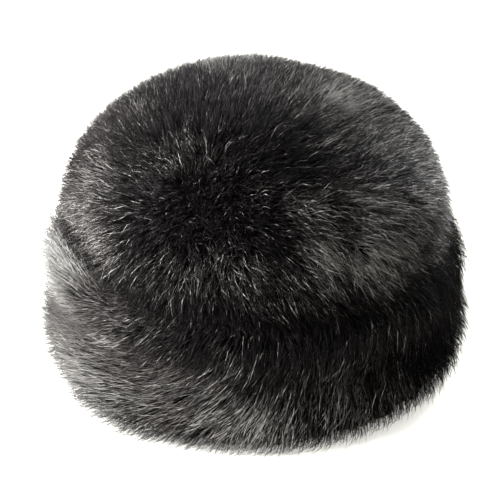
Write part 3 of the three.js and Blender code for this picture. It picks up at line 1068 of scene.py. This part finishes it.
def undercoat_finish():
    grain = {"Scale": 700.0, "Detail": 4.0}
    made, shader = patterned("undercoat", "ShaderNodeTexNoise", grain, UNDERCOAT_GREYS, 1.5 * MM)
    tune(shader, {"Specular IOR Level": 0.0})
    return made


def cloth_finish():
    ribs = {"Scale": 120.0, "Distortion": 1.5, "Detail": 2.0}
    across = {"bands_direction": "Z"}
    made, _ = patterned("knitted_backing", "ShaderNodeTexWave", ribs, CLOTH_GREYS, 0.5 * MM, **across)
    return made


undercoat, cloth = undercoat_finish(), cloth_finish()
print("Finishes:", hair.name, undercoat.name, cloth.name)

# %% [markdown]
# ## The cloth
#
# The backing is a knitted cloth, two millimetres thick with the stubble of its pile. It shows only inside
# the hat, where the seam round the tip and the one down the back stand in as low ridges.

# %% Cloth pieces
SEAM_RIDGE = 1.2 * MM
SEAM_WIDTH = 2.5 * MM
BACK = 90  # degrees round, where the side band's seam is


def crown_inside(angle, along):
    round_tip = np.exp(-(((along - seam_along) / SEAM_WIDTH) ** 2)) + 0 * angle
    below = ease(seam_along - SEAM_WIDTH, seam_along, along)
    down_back = below * np.exp(-((turn_from(angle, BACK) * crown_radius / SEAM_WIDTH) ** 2))
    return -CLOTH - SEAM_RIDGE * np.maximum(round_tip, down_back)


def level(height):
    return lambda angle, along: height + 0 * angle + 0 * along


CLOTHS = [
    ("crown_backing", "crown_cloth", crown_line, crown_inside, 3 * MM, 120),
    ("cuff_backing", "cuff_cloth", cuff_cloth_line, level(-CLOTH), 2.5 * MM, 96),
]

for name, node, line, inside, step, around in CLOTHS:
    piece = shell(name, line, 0, line["length"], inside, level(0), step, around)
    piece.data.materials.append(cloth)
    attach(piece, "root")
    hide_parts(node)
    print(piece.name, "has", len(piece.data.polygons), "faces")

# %% [markdown]
# ## The undercoat
#
# Under the long hairs the pile is so dense that it reads as one dark, soft body. It is a closed shell a
# little over half as deep as the pile, roughened with noise, and it keeps the gaps between hairs dark.

# %% Undercoat pieces
UNDERCOAT_SHARE = 0.6


def rough_top(line, depth, size=6 * MM, swing=0.16):
    """The undercoat's upper face: a share of the pile, lifted and lowered by noise."""

    def height(angle, along):
        deep = depth(angle, along)
        places = over(line, angle, along, deep).reshape(-1, 3) / size
        lumps = np.array([noise.noise(place) for place in places]).reshape(deep.shape)
        at_pole = along < line["along"][1]
        lumps = np.where(at_pole, lumps[:, :1], lumps)
        deep = np.where(at_pole, deep[:, :1], deep)
        return deep * (UNDERCOAT_SHARE + swing * lumps)

    return height


CROWN_TUCK = 14 * MM  # how far the crown's fur runs down behind the cuff
SIDE = (seam_along, crease_along + CROWN_TUCK)
UNDERCOATS = [
    ("tip_undercoat", "crown_tip_fur", crown_line, (0, seam_along), crown_depth, 4 * MM, 110),
    ("side_undercoat", "crown_side_fur", crown_line, SIDE, crown_depth, 4 * MM, 110),
    ("cuff_undercoat", "cuff_fur", cuff_line, (0, furred_cuff), cuff_depth, 3 * MM, 120),
]

for name, node, line, span, depth, step, around in UNDERCOATS:
    piece = shell(name, line, *span, level(GAP), rough_top(line, depth), step, around)
    for vertex in piece.data.vertices:
        vertex.co.z = max(vertex.co.z, GAP)
    piece.data.materials.append(undercoat)
    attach(piece, "root")
    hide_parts(node)
    print(piece.name, "has", len(piece.data.polygons), "faces")

# %% [markdown]
# ## The hair
#
# Each piece of fur has two meshes of hair. The long hairs are rooted deep, have a joint in the middle and
# make the body of the pile. The fine ones are rooted higher, are straight and shorter, and there are more
# than twice as many. They fill what the long ones leave open and blur the outline.

# %% Hair pieces
CUFF_LIE = {"Tuft Pull": 0.16, "Tuft Stray": 0.15, "Stray": 0.26, "Uneven": 0.5}

# How each kind of hair is made: its joints, its width, the height of its roots in the pile, and its reach
# as a share of the usual
HAIR_KINDS = {
    "hair": {"joints": 2, "width": 0.54 * MM, "root_share": 0.38, "reach_share": 1.0},
    "fine_hair": {"joints": 1, "width": 0.38 * MM, "root_share": 0.58, "reach_share": 0.6},
}
CROWN = (crown_line, crown_hair_depth, crown_nap, crown_tone_and_painted_light)
CUFF = (cuff_line, cuff_hair_depth, cuff_nap, cuff_tone_and_painted_light)
TOP = 1 * MM  # left free at the pole, where a row of points would be one place
IN_CREASE = crease_along + 2 * MM  # where the crown's hair ends
AREAS = {
    "tip": {"node": "crown_tip_fur", "surface": CROWN, "span": (TOP, seam_along), "lie": {}},
    "side": {"node": "crown_side_fur", "surface": CROWN, "span": (seam_along, IN_CREASE), "lie": {}},
    "cuff": {"node": "cuff_fur", "surface": CUFF, "span": (TUCK, furred_cuff), "lie": CUFF_LIE},
}

# (area, kind, how many hairs)
HAIR_COUNTS = [
    ("tip", "hair", 15000),
    ("side", "hair", 13000),
    ("cuff", "hair", 18800),
    ("tip", "fine_hair", 36000),
    ("side", "fine_hair", 30000),
    ("cuff", "fine_hair", 47000),
]

for seed, (where, which, count) in enumerate(HAIR_COUNTS, start=1):
    area, kind = AREAS[where], HAIR_KINDS[which]
    line, depth, nap, tone = area["surface"]
    base = skin("skin", line, *area["span"], depth, nap, tone, kind["root_share"], kind["reach_share"])
    sizes = {"Seed": seed, "Joints": kind["joints"], "Width": kind["width"], **area["lie"]}
    piece = grow(f"{where}_{which}", base, count, hair, **sizes)
    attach(piece, "root")
    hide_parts(area["node"])

# %% [markdown]
# ## Table and light
#
# The hat stands on a white table that runs out of the picture and glows a little, so that its shadow stays
# pale. A large soft light on the left makes the hair shine, and a weaker one behind on the right lifts the
# edge of the crown. The sky is plain and pale, and brightest behind the hat on the left.

# %% Table
TABLE_SIZE = 12.0
TABLE_FINISH = {"Base Color": (0.46, 0.455, 0.42, 1), "Roughness": 0.7}
TABLE_FINISH |= {"Emission Color": (1, 0.99, 0.93, 1), "Emission Strength": 0.6}


def make_table():
    points = np.array([(-1, -1, 0), (1, -1, 0), (1, 1, 0), (-1, 1, 0)]) * TABLE_SIZE / 2
    made = make_object("table", points, np.array([(0, 1, 2, 3)]))
    finish, _, shader = new_material("white_table")
    tune(shader, TABLE_FINISH)
    made.data.materials.append(finish)
    return made


table = make_table()
print("The table is", table.dimensions.x, "m wide")

# %% Lights
LIGHTS = [
    {"name": "key", "place": (-1.1, -0.4, 0.75), "size": 0.6, "power": 145},
    {"name": "rim", "place": (0.75, 1.1, 0.55), "size": 0.5, "power": 60},
]

for light in LIGHTS:
    data = bpy.data.lights.new(light["name"], "AREA")
    data.size = light["size"]
    data.energy = light["power"]
    lamp = put(light["name"], data)
    lamp.location = light["place"]
    lamp.rotation_euler = (LOOKED_AT - lamp.location).to_track_quat("-Z", "Y").to_euler()
    print("The", lamp.name, "light stands", round(lamp.location.length, 2), "m from the hat")

# %% Sky
BRIGHT_SIDE = (-0.6, 0.55, 0.58)  # the sky is brightest behind the hat on the left
SKY = (0.6, 1.6)  # strength of the sky opposite its bright side, and there

sky = bpy.data.worlds.new("sky")
sky.use_nodes = True
towards = add(sky.node_tree, "ShaderNodeTexCoord").outputs["Generated"]
facing = vector(sky.node_tree, "DOT_PRODUCT", towards, BRIGHT_SIDE)
bright = add(
    sky.node_tree,
    "ShaderNodeMapRange",
    {"Value": facing, "From Min": -0.5, "From Max": 0.9, "To Min": SKY[0], "To Max": SKY[1]},
    interpolation_type="SMOOTHSTEP",
).outputs[0]
sky.node_tree.links.new(bright, sky.node_tree.nodes["Background"].inputs["Strength"])
sky.node_tree.nodes["Background"].inputs["Color"].default_value = (1, 1, 1, 1)
bpy.context.scene.world = sky
bpy.context.scene.view_settings.view_transform = "Standard"
